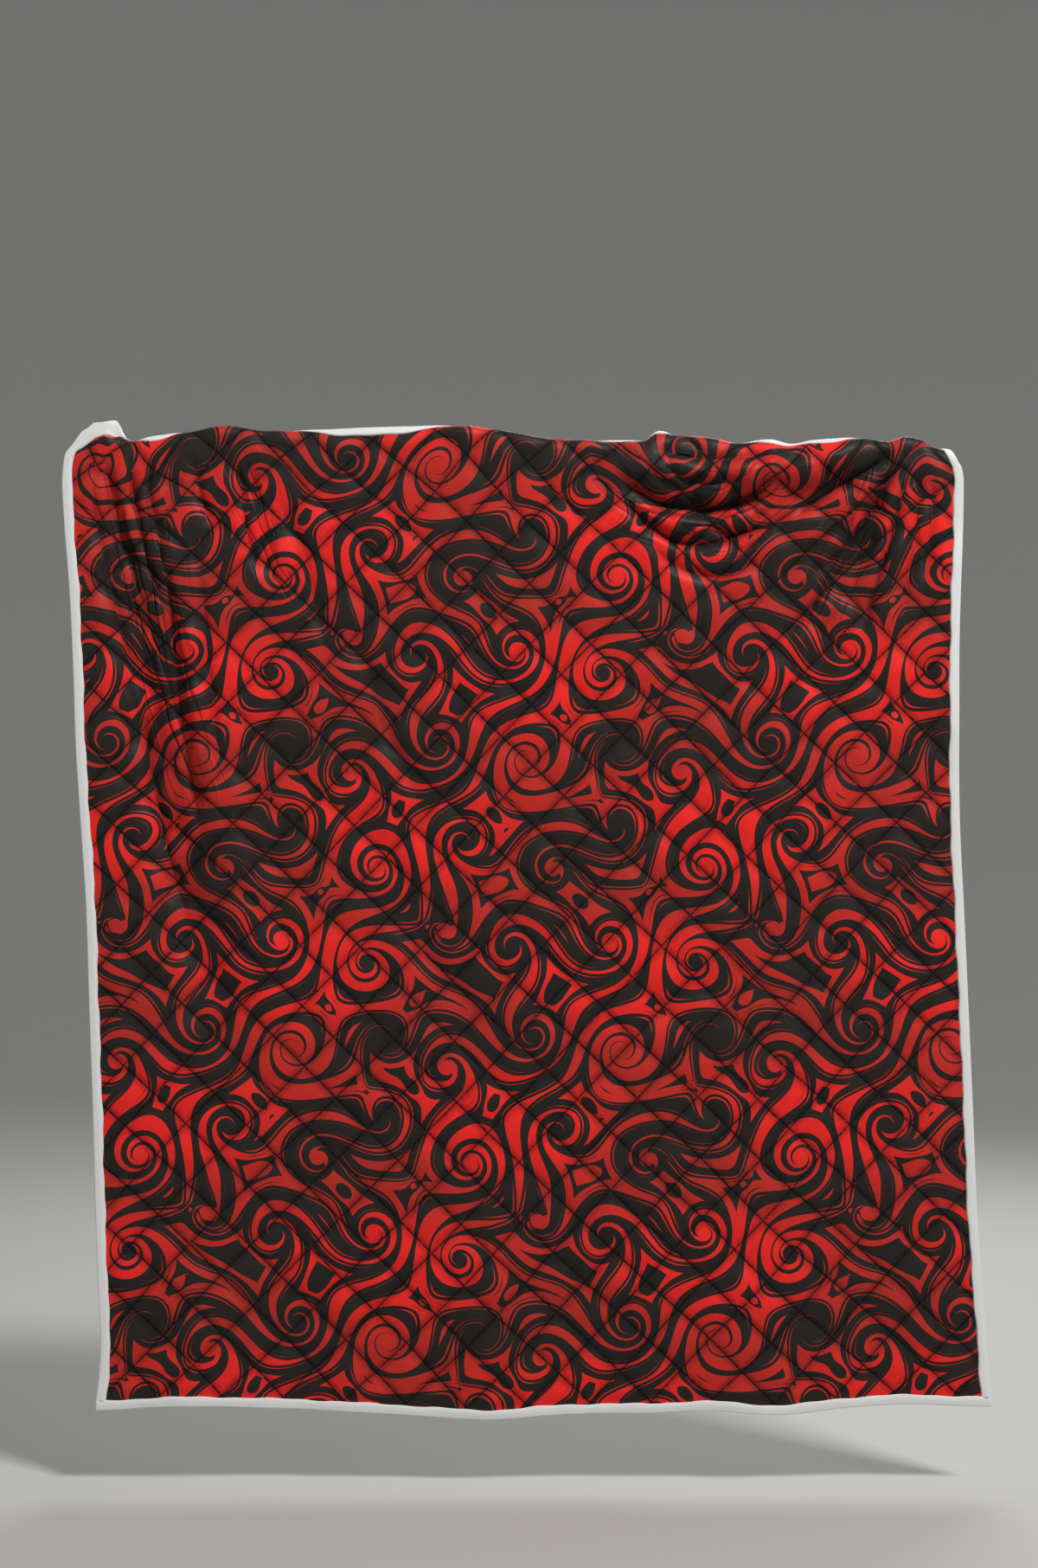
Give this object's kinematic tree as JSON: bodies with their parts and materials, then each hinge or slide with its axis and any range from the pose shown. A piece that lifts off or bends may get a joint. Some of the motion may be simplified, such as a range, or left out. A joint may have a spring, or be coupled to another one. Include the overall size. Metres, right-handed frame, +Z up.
{
  "type": "hanging quilted bedspread",
  "caption": "Thin filled bedspread quilted in diamonds and bound all round, hung flat by its turned-back top edge with soft folds.",
  "frame": {"origin": "middle of the top fold, on the line over which the cloth is held", "axes": "+X to the right as seen from the front, +Y to the back, +Z up; the printed face looks along -Y"},
  "size_m": [2.095, 0.082, 2.2475],
  "materials": {
    "quilt": "smooth printed microfibre with a soft sheen, white on the back",
    "binding_top": "plain white woven strip",
    "binding_bottom": "plain white woven strip",
    "binding_left": "plain white woven strip",
    "binding_right": "plain white woven strip"
  },
  "bodies": {
    "root": {"quilt": "quilt", "binding_top": "binding_top", "binding_bottom": "binding_bottom", "binding_left": "binding_left", "binding_right": "binding_right"}
  },
  "joints": []
}
